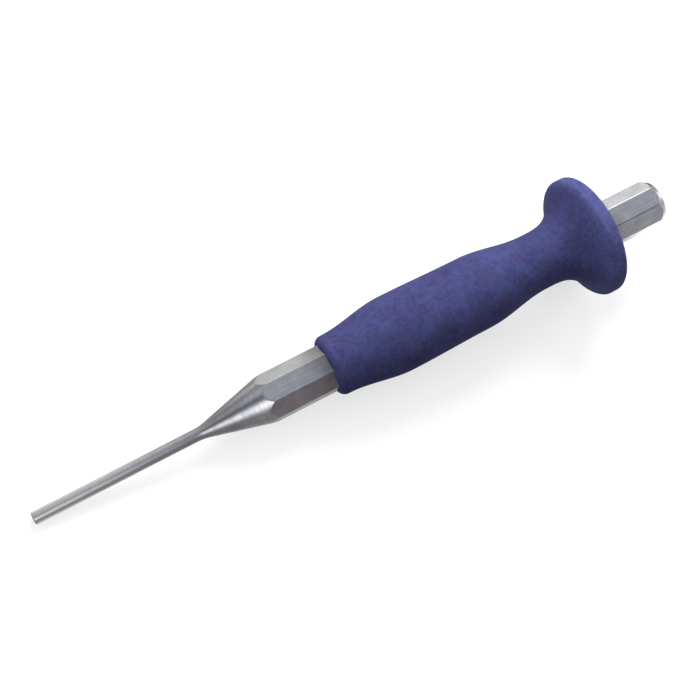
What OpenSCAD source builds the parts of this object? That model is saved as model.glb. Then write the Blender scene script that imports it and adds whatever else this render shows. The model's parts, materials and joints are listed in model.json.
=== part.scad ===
// Pin punch with a moulded hand-guard grip, at rest on a flat surface.
// Both pieces are drawn upright on one axis, tip at the bottom, and then laid down together.

/* [Pin] */
// Diameter of the pin
pin_d = 2.7; // [1.8:0.1:5]
// Length of the pin, from its tip to where the line of the cone meets it
pin_l = 37; // [20:1:50]
// Chamfer round the tip of the pin
tip_chamfer = 0.2; // [0.1:0.05:0.5]
// Radius of the hollow fillet between pin and cone
fillet_r = 12; // [4:1:20]

/* [Bar] */
// Width of the octagonal bar across its flats
bar_af = 10; // [8:0.5:13]
// Radius along the eight edges of the bar
bar_edge_r = 0.5; // [0.2:0.1:1]
// Length of the turned cone, from the pin to the edges of the bar
cone_l = 15.5; // [11:0.5:25]
// Length of bar left bare between the cone and the grip
front_bar_l = 13.8; // [8:0.2:25]
// Length of bar left bare behind the guard, up to the struck face
head_l = 16.6; // [10:0.2:30]
// Depth of the head's turned chamfer, from the flats to the struck face
head_chamfer = 0.5; // [0.2:0.1:1]
// Length of the head's turned chamfer, measured at the flats
head_chamfer_l = 1; // [0.5:0.1:2]

/* [Grip] */
// Gap between the bore's flats and the bar's flats, none for the push fit
grip_gap = 0; // [0:0.05:0.2]
// Wall over the bar's flats at the nose
nose_wall = 1.75; // [1.5:0.05:3]
// Radius of the rounded front lip
lip_r = 1.7; // [0.5:0.05:1.7]
// Distance from the front of the grip to the belly
belly_l = 16.8; // [10:0.2:25]
// Wall over the bar's flats at the belly
belly_wall = 3.6; // [2.5:0.1:5]
// Distance from the belly to the palm swell
palm_l = 19.2; // [12:0.2:28]
// Wall over the bar's flats at the palm swell
palm_wall = 3.3; // [2.5:0.1:5]
// Distance from the palm swell to the waist
waist_l = 15.6; // [10:0.2:24]
// Wall over the bar's flats at the waist
waist_wall = 1.4; // [1.2:0.1:2.4]

/* [Guard] */
// Diameter of the guard
guard_d = 27.7; // [23:0.1:34]
// Distance from the waist to the front of the rim
flare_l = 10.7; // [8:0.1:16]
// Steepness of the flare where it runs into the rim, in degrees from the axis
flare_angle = 60; // [50:1:75]
// Width of the rim, with both of its roundings
rim_l = 4.8; // [4.7:0.1:7]
// Radius of the full rounding at the front of the rim
rim_front_r = 3; // [1:0.1:3.1]
// Radius of the smaller rounding at the rear of the rim
rim_rear_r = 1.6; // [0.3:0.1:1.7]

/* [Hidden] */
$fn = 96;

// Straight pieces in each long curve of the grip, and in each small arc
curve_steps = 14;
arc_steps = 8;
// How far a blank or a cutter runs past what it trims
overrun = 1;
// Half a facet, which keeps the sleeve's seam off the line that the guard rests on
seam_turn = 180 / $fn;

// The bar's section
bar_sides = 8;
side_turn = 360 / bar_sides;
bar_r = bar_af / 2;
edge_centre_r = (bar_r - bar_edge_r) / cos(side_turn / 2);
bar_corner_r = edge_centre_r + bar_edge_r;

// Stations along the axis, counted from the tip
pin_r = pin_d / 2;
cone_end_z = pin_l + cone_l;
grip_z = cone_end_z + front_bar_l;

// Stations along the grip, counted from its front
belly_z = belly_l;
palm_z = belly_z + palm_l;
waist_z = palm_z + waist_l;
rim_z = waist_z + flare_l;
grip_l = rim_z + rim_l;
punch_l = grip_z + grip_l + head_l;

// The turned outline of the punch
cone_angle = atan((bar_corner_r - pin_r) / cone_l);
fillet_start_z = pin_l - fillet_r * tan(cone_angle / 2);
blank_r = bar_corner_r + overrun;
cone_blank_z = pin_l + (blank_r - pin_r) / tan(cone_angle);
face_r = bar_r - head_chamfer;
head_blank_z = punch_l - (blank_r - face_r) * head_chamfer_l / head_chamfer;

// The grip's radii, each a wall over the bar
nose_r = bar_r + nose_wall;
belly_r = bar_r + belly_wall;
palm_r = bar_r + palm_wall;
waist_r = bar_r + waist_wall;
guard_r = guard_d / 2;

// The flare climbs from the waist as a power curve and meets the rim's front rounding at the flare angle
flare_end_z = rim_z + rim_front_r * (1 - sin(flare_angle));
flare_end_r = guard_r - rim_front_r * (1 - cos(flare_angle));
flare_rise = flare_end_r - waist_r;
flare_run = flare_end_z - waist_z;
flare_power = tan(flare_angle) * flare_run / flare_rise;

// At rest the tool tips until the pin's tip and the fullest part of the grip both touch down
rest_tilt = max(
    rest_angle(cone_end_z, bar_corner_r, 0),
    rest_angle(grip_z + belly_z, belly_r, 0),
    rest_angle(grip_z + rim_z + rim_front_r, guard_r - rim_front_r, rim_front_r)
);
tip_lift = pin_r * cos(rest_tilt) - tip_chamfer * sin(rest_tilt);
tip_reach = (pin_r - tip_chamfer) * sin(rest_tilt);
head_reach = punch_l * cos(rest_tilt) + face_r * sin(rest_tilt);
middle_x = (head_reach - tip_reach) / 2;

// Slope of the line from the pin's lower edge that just touches a rounding at height z and radius r
function rest_angle(z, r, rounding) =
    let (along = z - tip_chamfer, across = r - pin_r)
    atan(across / along) + asin(rounding / norm([along, across]));

// Points on a circular arc about a centre
function arc(centre, r, from, to) =
    [for (i = [0 : arc_steps])
        let (a = from + (to - from) * i / arc_steps)
        centre + r * [cos(a), sin(a)]];

// Points that ease from one radius to another and lie level at both ends
function swell(z0, r0, z1, r1) =
    [for (i = [1 : curve_steps])
        let (u = i / curve_steps)
        [r0 + (r1 - r0) * (1 - cos(180 * u)) / 2, z0 + (z1 - z0) * u]];

// Points up the flare, from just past the waist to just short of the rim
function flare() =
    [for (i = [1 : curve_steps - 1])
        let (u = i / curve_steps)
        [waist_r + flare_rise * pow(u, flare_power), waist_z + flare_run * u]];

// Half outline that the lathe leaves: tip, pin, fillet, cone, and the chamfer round the struck face
function turned_outline() = concat(
    [[0, 0], [pin_r - tip_chamfer, 0], [pin_r, tip_chamfer]],
    arc([pin_r + fillet_r, fillet_start_z], fillet_r, 180, 180 - cone_angle),
    [[blank_r, cone_blank_z], [blank_r, head_blank_z], [face_r, punch_l], [0, punch_l]]
);

// Half outline of the grip: lip, belly, palm swell, waist, flare and rim
function grip_outline() = concat(
    [[0, 0]],
    arc([nose_r - lip_r, lip_r], lip_r, -90, 0),
    swell(lip_r, nose_r, belly_z, belly_r),
    swell(belly_z, belly_r, palm_z, palm_r),
    swell(palm_z, palm_r, waist_z, waist_r),
    flare(),
    arc([guard_r - rim_front_r, rim_z + rim_front_r], rim_front_r, -flare_angle, 0),
    arc([guard_r - rim_rear_r, grip_l - rim_rear_r], rim_rear_r, 0, 90),
    [[0, grip_l]]
);

// Section of the drawn bar: eight flats joined by rounded edges
function bar_outline() =
    [for (k = [0 : bar_sides - 1])
        let (a = side_turn * (k + 1 / 2))
        each arc(edge_centre_r * [cos(a), sin(a)], bar_edge_r, side_turn * k, side_turn * (k + 1))];

// Corner points of a sharp octagon with the given half width across its flats
function octagon(half_width) =
    [for (k = [0 : bar_sides - 1])
        let (a = side_turn * (k + 1 / 2))
        half_width / cos(side_turn / 2) * [cos(a), sin(a)]];

// Lays the upright tool down along +X, tip and guard on the surface
module lay_down() {
    translate([-middle_x, 0, tip_lift])
        rotate([0, 90 - rest_tilt, 0])
            children();
}

// One bar of tool steel: the flats keep their scalloped ends where cone and chamfer are turned
module punch() {
    color([0.74, 0.75, 0.77])
        lay_down()
            intersection() {
                linear_extrude(punch_l)
                    polygon(bar_outline());
                rotate_extrude()
                    polygon(turned_outline());
            }
}

// Moulded sleeve and hand guard in one, pushed on to the bar so that its bore lies on the flats
module grip() {
    color([0.27, 0.27, 0.5])
        lay_down()
            translate([0, 0, grip_z])
                difference() {
                    rotate([0, 0, seam_turn])
                        rotate_extrude()
                            polygon(grip_outline());
                    translate([0, 0, -overrun])
                        linear_extrude(grip_l + 2 * overrun)
                            polygon(octagon(bar_r + grip_gap));
                }
}

punch();
grip();
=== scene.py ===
import json
import math
import bpy
from mathutils import Matrix, Vector


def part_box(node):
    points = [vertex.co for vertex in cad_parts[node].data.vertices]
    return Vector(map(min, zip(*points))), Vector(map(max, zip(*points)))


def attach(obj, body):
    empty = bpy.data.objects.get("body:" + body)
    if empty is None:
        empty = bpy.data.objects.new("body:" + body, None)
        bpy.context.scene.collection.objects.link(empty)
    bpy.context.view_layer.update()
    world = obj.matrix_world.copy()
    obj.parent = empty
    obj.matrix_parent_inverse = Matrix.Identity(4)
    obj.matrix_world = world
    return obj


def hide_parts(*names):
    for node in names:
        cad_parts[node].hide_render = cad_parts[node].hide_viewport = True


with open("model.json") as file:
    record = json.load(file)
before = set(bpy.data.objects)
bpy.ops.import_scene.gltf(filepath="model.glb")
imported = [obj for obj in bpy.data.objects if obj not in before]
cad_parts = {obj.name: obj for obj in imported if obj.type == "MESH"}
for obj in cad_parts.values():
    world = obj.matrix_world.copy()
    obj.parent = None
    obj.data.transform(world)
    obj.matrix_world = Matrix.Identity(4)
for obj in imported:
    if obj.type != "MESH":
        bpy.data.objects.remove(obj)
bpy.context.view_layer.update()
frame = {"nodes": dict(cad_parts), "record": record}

print("frame loaded:", sorted(frame["nodes"]))

# the tool's own frame: origin at the tip, Z along the axis towards the struck end, from the record's mounts
mm = 0.001
mounts = {mount["name"]: mount for mount in frame["record"]["mounts"]}
tipPoint = Vector(mounts["tip_face"]["pos_m"])
headPoint = Vector(mounts["struck_face"]["pos_m"])
toolAxis = (headPoint - tipPoint).normalized()
sideAxis = Vector((0, 1, 0))
downAxis = sideAxis.cross(toolAxis)
toolFrame = Matrix((downAxis, sideAxis, toolAxis)).transposed().to_4x4()
toolFrame.translation = tipPoint
toolLength = (headPoint - tipPoint).length
pinRadius = mounts["pin"]["dims"]["r_mm"] * mm
barHalf = (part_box("punch")[1][1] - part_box("punch")[0][1]) / 2
guardRadius = (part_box("grip")[1][1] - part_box("grip")[0][1]) / 2


class Wire:
    # wraps one socket of a node tree, so that sums and products of wires add their own Math nodes
    def __init__(self, tree, socket=None):
        self.tree = tree
        self.socket = socket

    # adds a node: its type, its settings, what goes into its sockets, and the output to carry on from
    def node(self, kind, settings=None, sockets=None, out=0):
        made = self.tree.nodes.new(kind)
        for name, value in (settings or {}).items():
            setattr(made, name, value)
        for name, value in (sockets or {}).items():
            if isinstance(value, Wire):
                self.tree.links.new(value.socket, made.inputs[name])
            else:
                made.inputs[name].default_value = value
        return Wire(self.tree, made.outputs[out])

    # another output of the node that this wire comes from
    def twin(self, out):
        return Wire(self.tree, self.socket.node.outputs[out])

    def maths(self, operation, first, second=0.0, clamp=False):
        settings = {"operation": operation, "use_clamp": clamp}
        return self.node("ShaderNodeMath", settings, {0: first, 1: second})

    def __add__(self, other):
        return self.maths("ADD", self, other)

    def __radd__(self, other):
        return self.maths("ADD", other, self)

    def __sub__(self, other):
        return self.maths("SUBTRACT", self, other)

    def __rsub__(self, other):
        return self.maths("SUBTRACT", other, self)

    def __mul__(self, other):
        return self.maths("MULTIPLY", self, other)

    def __rmul__(self, other):
        return self.maths("MULTIPLY", other, self)

    def __truediv__(self, other):
        return self.maths("DIVIDE", self, other)

    def __rtruediv__(self, other):
        return self.maths("DIVIDE", other, self)

    def __pow__(self, other):
        return self.maths("POWER", self, other)

    def sin(self):
        return self.maths("SINE", self)

    def cos(self):
        return self.maths("COSINE", self)

    # 0 below low, 1 above high, eased in between
    def rise(self, low, high):
        settings = {"interpolation_type": "SMOOTHSTEP"}
        return self.node("ShaderNodeMapRange", settings, {0: self, 1: low, 2: high, 3: 0.0, 4: 1.0})

    def blend(self, dark, light):
        return self.node("ShaderNodeMix", {"data_type": "RGBA"}, {0: self, 6: dark, 7: light}, 2)


def newMaterial(name):
    material = bpy.data.materials.new(name)
    material.use_nodes = True
    shader = material.node_tree.nodes["Principled BSDF"]
    return material, shader, Wire(material.node_tree)


# millimetres in the tool's own frame, so that rings and drawn lines follow the axis
def toolPlace(desk):
    place = desk.node("ShaderNodeTexCoord", out="Object")
    turn = toolFrame.to_euler()
    return desk.node(
        "ShaderNodeMapping",
        {"vector_type": "TEXTURE"},
        {"Vector": place, "Location": tipPoint, "Rotation": turn, "Scale": (mm, mm, mm)},
    )


# how far a place lies from the tool's axis
def fromAxis(place):
    down = place.node("ShaderNodeSeparateXYZ", sockets={0: place})
    across = down.twin(1)
    return (down * down + across * across) ** 0.5


noiseMiddle = 0.5


def noise(place, kind):
    return place.node("ShaderNodeTexNoise", sockets={"Vector": place, **kind})


# what changes over a surface: its colour, its roughness, and its relief as a bump
def dress(material, shader, look, colour, roughness, relief):
    sockets = {"Strength": look["bumpStrength"], "Distance": look["bumpDepth"], "Height": relief}
    bump = relief.node("ShaderNodeBump", sockets=sockets)
    links = material.node_tree.links
    links.new(colour.socket, shader.inputs["Base Color"])
    links.new(roughness.socket, shader.inputs["Roughness"])
    links.new(bump.socket, shader.inputs["Normal"])


steelLook = {
    "bright": (0.71, 0.71, 0.72, 1),
    "dull": (0.52, 0.525, 0.54, 1),
    # painted shade: the grey that the steel is darkened towards next to the grip, on the pin and at the very
    # tip
    "paintedShade": (0.235, 0.23, 0.24, 1),
    "worn": (0.96, 0.94, 0.90, 1),
    "pit": (0.30, 0.29, 0.30, 1),
    "drawnNoise": {"Scale": 5.5, "Detail": 4.0, "Roughness": 0.62},
    "drawnStretch": (1, 1, 0.035),
    "ringNoise": {"Scale": 2.6, "Detail": 3.0, "Roughness": 0.7},
    "ringWander": 0.7,
    "patchNoise": {"Scale": 0.32, "Detail": 3.0},
    "pitNoise": {"Scale": 2.6, "Detail": 2.0},
    "markShare": 0.6,
    "dullAbove": (0.36, 0.66),
    "pitsAbove": (0.71, 0.80),
    # where each stretch starts and ends, in millimetres from the tip: painted shade next to the grip,
    # painted shade on the pin, the worn pin and the painted dark tip
    "shadeByGripFront": (56.5, 66.5),
    "shadeByGripRear": (130.4, 140.5),
    "pinShadeFront": (18, 42),
    "pinShadeRear": (42, 50),
    "wornTip": (6, 34),
    "tipShade": (0.05, 0.5),
    # how strongly each shows
    "paintedShadeShare": 0.6,
    "paintedShadePatches": 0.5,
    "pinShadeShare": 0.45,
    "wornShare": 0.6,
    "tipShadeShare": 0.7,
    "pitShare": 0.5,
    "flatRoughness": 0.24,
    "turnedRoughness": 0.30,
    "roughnessSpread": 0.16,
    "paintedShadeRoughness": 0.06,
    "pitRoughness": 0.05,
    "drawnDepth": 0.5,
    "ringDepth": 1.6,
    "bumpStrength": 0.35,
    "bumpDepth": 0.03 * mm,
}


def makeSteel():
    look = steelLook
    material, shader, desk = newMaterial("plated steel")
    place = toolPlace(desk)
    turned = desk.node("ShaderNodeAttribute", {"attribute_name": "turned"}, out="Fac")
    height = desk.node("ShaderNodeSeparateXYZ", sockets={0: place}, out=2)
    radius = fromAxis(place)

    # drawn lines run along the flats, rings run round the cone, the pin, the chamfers and the end faces
    stretch = {0: place, 1: look["drawnStretch"]}
    drawn = noise(desk.node("ShaderNodeVectorMath", {"operation": "MULTIPLY"}, stretch), look["drawnNoise"])
    wander = look["ringWander"]
    turning = {0: height.twin(0) / radius * wander, 1: height.twin(1) / radius * wander, 2: height + radius}
    rings = noise(desk.node("ShaderNodeCombineXYZ", sockets=turning), look["ringNoise"])
    patches = noise(place, look["patchNoise"])
    pits = noise(place, look["pitNoise"])

    # painted shade on the steel next to both ends of the grip, on the rear of the pin and in the fillet, and
    # a painted dark edge on the very tip, with the pin worn bright behind that
    paintedShade = height.rise(*look["shadeByGripFront"]) ** 2 * (1 - height.rise(*look["shadeByGripRear"]))
    # painted shade on the rear of the pin, the fillet and the front of the cone
    pinShade = height.rise(*look["pinShadeFront"]) * (1 - height.rise(*look["pinShadeRear"]))
    # a painted dark edge on the very tip
    tipShade = 1 - height.rise(*look["tipShade"])
    paintedShade = paintedShade + pinShade * look["pinShadeShare"] + tipShade * look["tipShadeShare"]
    worn = 1 - height.rise(*look["wornTip"])

    marks = drawn * (1 - turned) + rings * turned
    tone = marks * look["markShare"] + patches * (1 - look["markShare"])
    dullness = tone.rise(*look["dullAbove"])
    specks = pits.rise(*look["pitsAbove"])
    colour = dullness.blend(look["bright"], look["dull"])
    colour = (worn * look["wornShare"]).blend(colour, look["worn"])
    # the painted shade darkens the steel towards a dull grey, more in patches
    colour = (paintedShade * (look["paintedShadeShare"] + patches * look["paintedShadePatches"])).blend(colour, look["paintedShade"])
    colour = (specks * look["pitShare"]).blend(colour, look["pit"])
    roughness = look["flatRoughness"] + turned * (look["turnedRoughness"] - look["flatRoughness"])
    roughness = roughness + (tone - noiseMiddle) * look["roughnessSpread"]
    roughness = roughness + paintedShade * look["paintedShadeRoughness"] + specks * look["pitRoughness"]
    depth = look["drawnDepth"] + turned * (look["ringDepth"] - look["drawnDepth"])

    shader.inputs["Metallic"].default_value = 1
    dress(material, shader, look, colour, roughness, marks * depth)
    return material


punchSizes = {
    "tipChamfer": 0.2 * mm,
    "pinLength": 37 * mm,
    "filletRadius": 12 * mm,
    "coneLength": 15.5 * mm,
    "edgeRadius": 0.5 * mm,
    "headChamfer": 0.5 * mm,
    "headChamferLength": 1 * mm,
    "softTip": 0.05 * mm,
    "softScallop": 0.22 * mm,
    "softHead": 0.1 * mm,
    "softHold": 1.6,
    "softSteps": 5,
    "pinSteps": 8,
    "filletSteps": 12,
    "coneSteps": 14,
    "barSteps": 16,
    "edgeSteps": 8,
    "flatShares": (-1, -0.96, -0.75, -0.5, -0.25, 0, 0.25, 0.5, 0.75, 0.96, 1),
}
sides = 8
eighth = math.tau / sides


# where the columns of the punch stand round the axis: close together at the rounded edges of the bar
def punchColumns():
    edge = punchSizes["edgeRadius"]
    steps = punchSizes["edgeSteps"]
    reach = (barHalf - edge) * math.tan(eighth / 2)
    columns = []
    for side in range(sides):
        for share in punchSizes["flatShares"]:
            columns.append((side, barHalf, share * reach))
        for step in range(1, steps):
            bend = eighth * step / steps
            columns.append((side, barHalf - edge + edge * math.cos(bend), reach + edge * math.sin(bend)))
    return [(side * eighth + math.atan2(b, a), math.hypot(a, b)) for side, a, b in columns]


# a corner of the outline as a small smooth bend, with a point to hold the surface flat on either side of it
def softCorner(before, corner, after, reach):
    hold = reach * punchSizes["softHold"]
    steps = punchSizes["softSteps"]
    into = (before - corner).normalized()
    away = (after - corner).normalized()
    start = corner + into * reach
    end = corner + away * reach
    points = [corner + into * hold]
    for step in range(steps + 1):
        t = step / steps
        points.append(start * (1 - t) ** 2 + corner * 2 * t * (1 - t) + end * t ** 2)
    return points + [corner + away * hold]


def straight(start, end, steps):
    return [start.lerp(end, step / steps) for step in range(1, steps)]


# one column's outline as (radius, height), and how far each point is turned rather than drawn
def punchOutline(barRadius):
    size = punchSizes
    barCorner = max(radius for angle, radius in punchColumns())
    slope = math.atan((barCorner - pinRadius) / size["coneLength"])
    fillet = size["filletRadius"]
    filletStart = size["pinLength"] - fillet * math.tan(slope / 2)
    faceRadius = barHalf - size["headChamfer"]
    chamferSlope = size["headChamferLength"] / size["headChamfer"]

    tipEdge = Vector((pinRadius - size["tipChamfer"], 0))
    pinEdge = Vector((pinRadius, size["tipChamfer"]))
    pinEnd = Vector((pinRadius, filletStart))
    scallop = Vector((barRadius, size["pinLength"] + (barRadius - pinRadius) / math.tan(slope)))
    headEdge = Vector((barRadius, toolLength - (barRadius - faceRadius) * chamferSlope))
    faceEdge = Vector((faceRadius, toolLength))

    fillets = []
    for step in range(size["filletSteps"] + 1):
        bend = slope * step / size["filletSteps"]
        fillets.append(pinEnd + fillet * Vector((1 - math.cos(bend), math.sin(bend))))
    tip = softCorner(Vector((0, 0)), tipEdge, pinEdge, size["softTip"])
    pin = softCorner(tipEdge, pinEdge, pinEnd, size["softTip"])
    front = softCorner(fillets[-1], scallop, headEdge, size["softScallop"])
    rear = softCorner(scallop, headEdge, faceEdge, size["softHead"])
    face = softCorner(headEdge, faceEdge, Vector((0, toolLength)), size["softHead"])

    # the marks change from rings to drawn lines half way through the soft corners at both ends of the bar
    half = len(front) // 2
    turnedStart = [tip[0] / 2] + tip + pin + straight(pin[-1], pinEnd, size["pinSteps"])
    turnedStart += fillets + straight(fillets[-1], front[0], size["coneSteps"]) + front[:half]
    drawn = front[half:] + straight(front[-1], rear[0], size["barSteps"]) + rear[:half]
    turnedEnd = rear[half:] + face + [Vector((face[-1].x / 2, toolLength))]
    marks = [1.0] * len(turnedStart) + [0.0] * len(drawn) + [1.0] * len(turnedEnd)
    return turnedStart + drawn + turnedEnd, marks


def makePunch(material):
    columns = punchColumns()
    outlines = [punchOutline(radius) for angle, radius in columns]
    rows = len(outlines[0][0])
    count = len(columns)
    points = [Vector((0, 0, 0))]
    turned = [1.0]
    for row in range(rows):
        for (angle, radius), (outline, marks) in zip(columns, outlines):
            out, height = outline[row]
            points.append(Vector((out * math.cos(angle), out * math.sin(angle), height)))
            turned.append(marks[row])
    points.append(Vector((0, 0, toolLength)))
    turned.append(1.0)

    faces = []
    last = len(points) - 1
    for column in range(count):
        beside = (column + 1) % count
        faces.append((0, 1 + beside, 1 + column))
        for row in range(rows - 1):
            low = 1 + row * count
            high = low + count
            faces.append((low + column, low + beside, high + beside, high + column))
        top = 1 + (rows - 1) * count
        faces.append((last, top + column, top + beside))

    mesh = bpy.data.meshes.new("steelPunch")
    mesh.from_pydata([toolFrame @ point for point in points], [], faces)
    mesh.attributes.new("turned", "FLOAT", "POINT").data.foreach_set("value", turned)
    mesh.polygons.foreach_set("use_smooth", [True] * len(faces))
    mesh.materials.append(material)
    mesh.update()
    punch = bpy.data.objects.new("steelPunch", mesh)
    bpy.context.collection.objects.link(punch)
    print("punch made:", len(faces), "faces")
    return punch


gripLook = {
    "blue": (0.055, 0.061, 0.172, 1),
    "deep": (0.036, 0.035, 0.106, 1),
    "violet": (0.058, 0.047, 0.132, 1),
    "clear": (0.051, 0.068, 0.186, 1),
    # painted light: lighter copies of the blues for the guard's rim, where more light falls
    "paintedRimLightDeep": (0.068, 0.072, 0.198, 1),
    "paintedRimLight": (0.094, 0.106, 0.272, 1),
    "paintedRimLightSpan": (8.6, 13.2),      # millimetres from the axis
    "paintedRimLightShare": 0.3,
    "paintedRimLightMottle": 0.6,
    "cloudNoise": {"Scale": 0.2, "Detail": 3.0, "Roughness": 0.6},
    "tintNoise": {"Scale": 0.42, "Detail": 3.0},
    "mottleNoise": {"Scale": 1.1, "Detail": 5.0, "Roughness": 0.72},
    "grainNoise": {"Scale": 5.0, "Detail": 3.0, "Roughness": 0.6},
    "cloudShare": 0.4,
    "shadeSpan": (0.36, 0.64),
    "tintSpan": (0.50, 0.72),
    "tintShare": 0.6,
    "roughness": 0.68,
    "roughnessSpread": 0.25,
    "specular": 0.10,
    "grainHeight": 0.6,
    "mottleHeight": 0.9,
    "bumpStrength": 0.5,
    "bumpDepth": 0.08 * mm,
}


def makeGripFinish():
    look = gripLook
    material, shader, desk = newMaterial("soft blue plastic")
    place = toolPlace(desk)
    clouds = noise(place, look["cloudNoise"])
    tint = noise(place, look["tintNoise"])
    mottle = noise(place, look["mottleNoise"])
    grain = noise(place, look["grainNoise"])

    # mottled pigment: dark and light flecks, drifting between a clear blue and a violet one
    flecks = clouds * look["cloudShare"] + mottle * (1 - look["cloudShare"])
    shade = flecks.rise(*look["shadeSpan"])
    colour = shade.blend(look["deep"], look["blue"])
    colour = (tint.rise(*look["tintSpan"]) * look["tintShare"]).blend(colour, look["violet"])
    colour = ((1 - tint).rise(*look["tintSpan"]) * look["tintShare"]).blend(colour, look["clear"])

    # painted light: the guard's rim is painted lighter, where more light falls on it, with mottle
    paintedRimLight = fromAxis(place).rise(*look["paintedRimLightSpan"])
    paintedRimLight = paintedRimLight * (look["paintedRimLightShare"] + mottle * look["paintedRimLightMottle"])
    colour = paintedRimLight.blend(colour, shade.blend(look["paintedRimLightDeep"], look["paintedRimLight"]))

    roughness = look["roughness"] + (mottle - noiseMiddle) * look["roughnessSpread"]
    relief = grain * look["grainHeight"] + mottle * look["mottleHeight"]
    shader.inputs["Specular IOR Level"].default_value = look["specular"]
    dress(material, shader, look, colour, roughness, relief)
    return material


gripSizes = {
    "Front": 66.3 * mm,
    "Bore": barHalf,
    "Nose radius": 6.75 * mm,
    "Lip": 1.7 * mm,
    "Belly at": 16.8 * mm,
    "Belly radius": 8.6 * mm,
    "Palm at": 36 * mm,
    "Palm radius": 8.3 * mm,
    "Waist at": 51.6 * mm,
    "Waist radius": 6.4 * mm,
    # a squarer rim than the solid's, which touches the floor as that one does
    "Land at": 64.3 * mm,
    "Length": 66.7 * mm,
    "Guard radius": guardRadius - 0.09 * mm,
    "Crown": 3 * mm,
    "Crown angle": math.radians(62),
    "Corner": 1 * mm,
    "Corner angle": math.radians(35),
    "Rim rear": 0.9 * mm,
}
gripMesh = {
    "around": 144,
    "steps": 16,
    "stretches": 11,
    "weld": 0.002 * mm,
    "crease": math.radians(38),
}


# the moulding as one sheet rolled round the axis, each stretch of its outline adding to radius and height
def gripTree(material):
    tree = bpy.data.node_groups.new("gripMoulding", "GeometryNodeTree")
    tree.interface.new_socket("Geometry", in_out="OUTPUT", socket_type="NodeSocketGeometry")
    for name in gripSizes:
        tree.interface.new_socket(name, in_out="INPUT", socket_type="NodeSocketFloat")
    entry = tree.nodes.new("NodeGroupInput")
    size = {name: Wire(tree, entry.outputs[name]) for name in gripSizes}
    desk = Wire(tree)
    rows = gripMesh["steps"] * gripMesh["stretches"] + 1
    counts = {"Size X": 1.0, "Size Y": 1.0, "Vertices X": gripMesh["around"] + 1, "Vertices Y": rows}
    grid = desk.node("GeometryNodeMeshGrid", sockets=counts)
    chart = desk.node("ShaderNodeSeparateXYZ", sockets={0: grid.twin("UV Map")})
    angle = chart * math.tau
    travel = chart.twin(1) * gripMesh["stretches"]
    part = [desk.maths("SUBTRACT", travel, step, clamp=True) for step in range(gripMesh["stretches"])]

    # the eight-sided bore cuts the rounded lip a little further out at its corners
    fold = desk.maths("FLOORED_MODULO", angle + eighth / 2, eighth) - eighth / 2
    bore = size["Bore"] / fold.cos()
    lipCentre = size["Nose radius"] - size["Lip"]
    lipStart = desk.maths("ARCSINE", (bore - lipCentre) / size["Lip"])
    lipBend = lipStart + (math.pi / 2 - lipStart) * part[0]
    radius = lipCentre + size["Lip"] * lipBend.sin()
    height = size["Lip"] * (1 - lipBend.cos())
    boreFront = size["Lip"] * (1 - lipStart.cos())

    # belly, palm swell and waist ease into each other
    stations = [
        ("Nose radius", "Lip"),
        ("Belly radius", "Belly at"),
        ("Palm radius", "Palm at"),
        ("Waist radius", "Waist at"),
    ]
    for step in range(1, len(stations)):
        (fromRadius, fromPlace), (toRadius, toPlace) = stations[step - 1], stations[step]
        ease = (1 - (part[step] * math.pi).cos()) / 2
        radius = radius + (size[toRadius] - size[fromRadius]) * ease
        height = height + (size[toPlace] - size[fromPlace]) * part[step]

    # the flare climbs as a power curve and runs into the crown, the soft rounding of the guard's front
    lean = size["Crown angle"]
    turn = size["Corner angle"]
    crown = size["Crown"]
    corner = size["Corner"]
    rear = size["Rim rear"]
    crownWidth = crown * (lean.sin() - turn.sin())
    crownRise = crown * (turn.cos() - lean.cos())
    run = size["Land at"] - corner * turn.sin() - crownWidth - size["Waist at"]
    climb = size["Guard radius"] - corner * (1 - turn.cos()) - crownRise - size["Waist radius"]
    power = desk.maths("TANGENT", lean) * run / climb
    radius = radius + climb * part[4] ** power
    height = height + run * part[4]
    crownBend = lean + (turn - lean) * part[5]
    radius = radius + crown * (crownBend.cos() - lean.cos())
    height = height + crown * (lean.sin() - crownBend.sin())

    # rim: front corner, land, rear rounding, flat rear face, then back through the bore
    cornerBend = turn - turn * part[6]
    radius = radius + corner * (cornerBend.cos() - turn.cos())
    height = height + corner * (turn.sin() - cornerBend.sin())
    height = height + (size["Length"] - rear - size["Land at"]) * part[7]
    quarter = part[8] * (math.pi / 2)
    radius = radius - rear * (1 - quarter.cos())
    height = height + rear * quarter.sin()
    radius = radius - (size["Guard radius"] - rear - bore) * part[9]
    height = height - (size["Length"] - boreFront) * part[10]

    spot = {0: radius * angle.cos(), 1: radius * angle.sin(), 2: size["Front"] + height}
    rolled = desk.node(
        "GeometryNodeSetPosition",
        sockets={"Geometry": grid, "Position": desk.node("ShaderNodeCombineXYZ", sockets=spot)},
    )
    weld = {"Geometry": rolled, "Distance": gripMesh["weld"]}
    closed = desk.node("GeometryNodeMergeByDistance", sockets=weld)
    crease = desk.maths("GREATER_THAN", desk.node("GeometryNodeInputMeshEdgeAngle"), gripMesh["crease"])
    smooth = desk.node(
        "GeometryNodeSetShadeSmooth",
        {"domain": "FACE"},
        {"Geometry": closed, "Shade Smooth": True},
    )
    creased = desk.node(
        "GeometryNodeSetShadeSmooth",
        {"domain": "EDGE"},
        {"Geometry": smooth, "Selection": crease, "Shade Smooth": False},
    )
    real = desk.node("GeometryNodeRealizeInstances", sockets={"Geometry": creased})
    painted = desk.node("GeometryNodeSetMaterial", sockets={"Geometry": real, "Material": material})
    leave = tree.nodes.new("NodeGroupOutput")
    tree.links.new(painted.socket, leave.inputs[0])
    return tree


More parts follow.
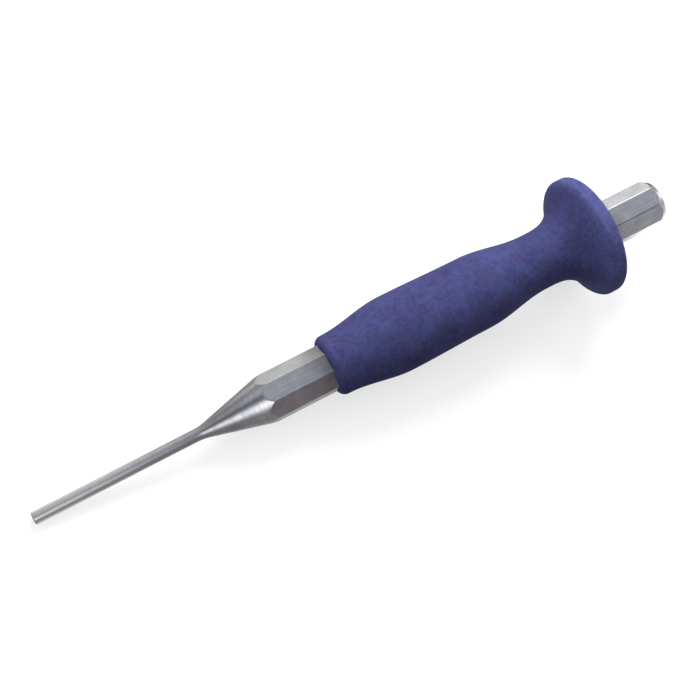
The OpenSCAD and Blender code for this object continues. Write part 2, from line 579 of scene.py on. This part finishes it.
def makeGrip(material):
    tree = gripTree(material)
    grip = bpy.data.objects.new("mouldedGrip", bpy.data.meshes.new("gripStart"))
    bpy.context.collection.objects.link(grip)
    modifier = grip.modifiers.new("moulding", "NODES")
    modifier.node_group = tree
    for item in tree.interface.items_tree:
        if item.in_out == "INPUT":
            modifier[item.identifier] = gripSizes[item.name]
    depsgraph = bpy.context.evaluated_depsgraph_get()
    mesh = bpy.data.meshes.new_from_object(grip.evaluated_get(depsgraph))
    grip.modifiers.clear()
    mesh.name = "mouldedGrip"
    mesh.transform(toolFrame)
    grip.data = mesh
    print("grip made:", len(mesh.polygons), "faces")
    return grip


# where the photograph was taken from: focal length in pixels, and the axis as it lies in the picture
cameraSetup = {
    "pixels": 700,
    "focal": 1200,
    "sensor": 36,
    "slope": math.radians(27.08),
    "roundAxis": math.radians(80.5),
    "tipNearer": math.radians(12.5),
    "aimAlong": 72.47 * mm,
    "aimPixel": (352.58, 355.18),
    "distance": 252.2 * mm,
    "clipStart": 10 * mm,
}


def makeCamera():
    setup = cameraSetup
    near = setup["tipNearer"]
    right = math.cos(setup["slope"])
    up = math.sin(setup["slope"])
    roll = setup["roundAxis"]
    facing = -downAxis * math.sin(roll) - sideAxis * math.cos(roll)
    across = toolAxis.cross(facing)
    inWorld = Matrix((toolAxis, facing, across)).transposed()
    inView = Matrix((
        (math.cos(near) * right, math.cos(near) * up, -math.sin(near)),
        (math.sin(near) * right, math.sin(near) * up, math.cos(near)),
        (up, -right, 0),
    )).transposed()
    turn = inWorld @ inView.transposed()
    half = setup["pixels"] / 2
    perPixel = setup["distance"] / setup["focal"]
    aim = tipPoint + toolAxis * setup["aimAlong"]
    offset = Vector((
        (setup["aimPixel"][0] - half) * perPixel,
        (half - setup["aimPixel"][1]) * perPixel,
        -setup["distance"],
    ))
    data = bpy.data.cameras.new("camera")
    data.sensor_width = setup["sensor"]
    data.lens = setup["sensor"] * setup["focal"] / setup["pixels"]
    data.clip_start = setup["clipStart"]
    camera = bpy.data.objects.new("camera", data)
    camera.matrix_world = Matrix.Translation(aim - turn @ offset) @ turn.to_4x4()
    bpy.context.collection.objects.link(camera)
    bpy.context.scene.camera = camera
    print("camera placed at", [round(value, 4) for value in camera.matrix_world.translation])


lightSetup = {
    "keyFrom": (0.45, 0.64, 0.62),
    "keyDistance": 0.9,
    "keySize": 0.5,
    "keyPower": 9.2,
    # soft light on the grip: direction, how wide it spreads as a cosine, tone
    "gloom": (0.06, 0.06, 0.065, 1),
    "fills": [
        ((-0.78, 0.50, 0.38), -0.2, (1.35, 1.37, 1.41, 1)),         # from behind the tip
        ((0.98, 0.0, 0.20), 0.55, (2.0, 2.02, 2.1, 1)),             # from the struck end
    ],
    # the floor: its half width, how it looks to the camera, and how far out that fades into the backdrop
    "floorHalf": 3.0,
    "floorDim": (0.12, 0.09, 0.09, 1),
    "floorSeen": (0.40, 0.40, 0.40, 1),
    "floorGlow": (0.64, 0.64, 0.64, 1),
    "floorFades": (0.25, 0.7),
    # the room as the steel mirrors it: direction, half width and edge in degrees, tone
    "ceiling": (0.45, 0.465, 0.52, 1),
    "cards": [
        ((0.62, 0.78, 0.0), 20, 32, (1.1, 1.1, 1.1, 1)),            # white backdrop
        ((0.55, 0.70, 0.46), 17, 10, (2.0, 2.0, 2.0, 1)),           # softbox behind
        ((-0.31, 0.91, 0.28), 8, 12, (0.24, 0.24, 0.25, 1)),        # dark corner behind the tip
        ((-0.47, 0.14, 0.87), 8, 11, (0.02, 0.02, 0.025, 1)),       # dark gap in the ceiling
        ((-0.18, 0.14, 0.97), 3.5, 7, (0.10, 0.10, 0.105, 1)),      # its narrow end, over the pin
        ((-0.45, -0.50, 0.74), 10, 12, (1.9, 1.9, 1.9, 1)),         # softbox over the tip
        ((0.25, -0.55, 0.79), 15, 12, (0.06, 0.06, 0.07, 1)),       # flag in front
        ((-0.03, -0.99, 0.10), 20, 12, (0.20, 0.165, 0.18, 1)),     # dark side of the room
        ((0.90, 0.43, 0.02), 9, 9, (0.16, 0.16, 0.17, 1)),          # dark gap beside the lamp
        ((0.96, 0.10, 0.22), 5, 9, (1.9, 1.9, 1.9, 1)),             # lamp past the struck end
    ],
    # the floor as the steel mirrors it, with painted shade and painted light: place, half width and edge in
    # millimetres, tone
    "floorInSteel": (0.75, 0.75, 0.75, 1),
    "spots": [
        ((-45, -150), 135, 25, (0.255, 0.26, 0.265, 1)),            # shade in front
        ((-33, 25), 12, 15, (0.38, 0.38, 0.39, 1)),                 # shade behind the cone
        ((145, 145), 42, 40, (1.5, 1.5, 1.5, 1)),                   # painted light on the paper behind the head
        ((132, 40), 44, 14, (0.12, 0.12, 0.125, 1)),                # shade past the struck end
        ((91, -7), 10, 9, (1.55, 1.55, 1.55, 1)),                   # painted light on the paper under the head
    ],
}
white = (1, 1, 1, 1)


# how nearly a ray of the world points in a direction, as a cosine
def pointing(ray, direction):
    sockets = {0: ray, 1: Vector(direction).normalized()}
    return ray.node("ShaderNodeVectorMath", {"operation": "DOT_PRODUCT"}, sockets, "Value")


def makeLight():
    setup = lightSetup
    key = bpy.data.lights.new("key", "AREA")
    key.shape = "DISK"
    key.size = setup["keySize"]
    key.energy = setup["keyPower"]
    lamp = bpy.data.objects.new("key", key)
    place = Vector(setup["keyFrom"]).normalized() * setup["keyDistance"]
    lamp.matrix_world = Matrix.Translation(place) @ place.to_track_quat("Z", "Y").to_matrix().to_4x4()
    lamp.visible_glossy = False    # the steel mirrors the cards instead
    bpy.context.collection.objects.link(lamp)

    # the camera, glass and metal see a white backdrop, which for metal rises into a grey ceiling with cards
    world = bpy.data.worlds.new("studio")
    world.use_nodes = True
    bpy.context.scene.world = world
    world.node_tree.nodes.clear()
    desk = Wire(world.node_tree)
    ray = desk.node("ShaderNodeTexCoord", out="Generated")
    fillTone = setup["gloom"]
    for direction, spread, light in setup["fills"]:
        fillTone = pointing(ray, direction).rise(spread, 1).blend(fillTone, light)
    tone = setup["ceiling"]
    for direction, width, edge, card in setup["cards"]:
        outer = math.cos(math.radians(width + edge))
        inner = math.cos(math.radians(width))
        tone = pointing(ray, direction).rise(outer, inner).blend(tone, card)
    camera = desk.node("ShaderNodeLightPath", out="Is Camera Ray")
    glossy = camera.twin("Is Glossy Ray")
    seen = desk.maths("ADD", camera + camera.twin("Is Transmission Ray"), glossy, clamp=True)
    fill = desk.node("ShaderNodeBackground", sockets={"Color": fillTone})
    backdrop = desk.node("ShaderNodeBackground", sockets={"Color": glossy.blend(white, tone)})
    sky = desk.node("ShaderNodeMixShader", sockets={0: seen, 1: fill, 2: backdrop})
    leave = world.node_tree.nodes.new("ShaderNodeOutputWorld")
    world.node_tree.links.new(sky.socket, leave.inputs["Surface"])
    print("light set:", len(setup["cards"]), "cards")


# white paper with the tool's shadow on it; metal mirrors it as a glowing tone with painted shade and painted
# light in spots, and it is dim where it only throws light back
def makeFloor():
    setup = lightSetup
    material, shader, desk = newMaterial("white floor")
    tree = material.node_tree
    tree.nodes.remove(shader)
    dim = desk.node("ShaderNodeBsdfDiffuse", sockets={"Color": setup["floorDim"]})
    place = desk.node("ShaderNodeTexCoord", out="Object")
    tone = setup["floorInSteel"]
    for (x, y), width, edge, spot in setup["spots"]:
        middle = (x * mm, y * mm, 0)
        away = desk.node("ShaderNodeVectorMath", {"operation": "DISTANCE"}, {0: place, 1: middle}, "Value")
        tone = away.rise(width * mm, (width + edge) * mm).blend(spot, tone)
    mirrored = desk.node("ShaderNodeEmission", sockets={"Color": tone})
    seenPaper = desk.node("ShaderNodeBsdfDiffuse", sockets={"Color": setup["floorSeen"]})
    out = desk.node("ShaderNodeVectorMath", {"operation": "LENGTH"}, {0: place}, "Value")
    far = out.rise(*setup["floorFades"])
    glow = desk.node("ShaderNodeEmission", sockets={"Color": far.blend(setup["floorGlow"], white)})
    bright = desk.node("ShaderNodeAddShader", sockets={0: seenPaper, 1: glow})
    camera = desk.node("ShaderNodeLightPath", out="Is Camera Ray")
    glossy = camera.twin("Is Glossy Ray")
    inMetal = desk.maths("ADD", glossy, camera.twin("Is Transmission Ray"), clamp=True)
    unseen = desk.node("ShaderNodeMixShader", sockets={0: inMetal, 1: dim, 2: mirrored})
    both = desk.node("ShaderNodeMixShader", sockets={0: camera, 1: unseen, 2: bright})
    tree.links.new(both.socket, tree.nodes["Material Output"].inputs["Surface"])
    mesh = bpy.data.meshes.new("floor")
    wide = setup["floorHalf"]
    corners = [(-wide, -wide, 0), (wide, -wide, 0), (wide, wide, 0), (-wide, wide, 0)]
    mesh.from_pydata(corners, [], [(0, 1, 2, 3)])
    mesh.materials.append(material)
    floor = bpy.data.objects.new("floor", mesh)
    bpy.context.collection.objects.link(floor)
    print("floor laid")


makeCamera()
makeLight()
makeFloor()
punch = makePunch(makeSteel())
grip = makeGrip(makeGripFinish())
for piece, node, slot in ((punch, "punch", "punch_steel"), (grip, "grip", "grip_soft")):
    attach(piece, "root")
    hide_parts(node)

bpy.context.scene.view_settings.view_transform = "Standard"
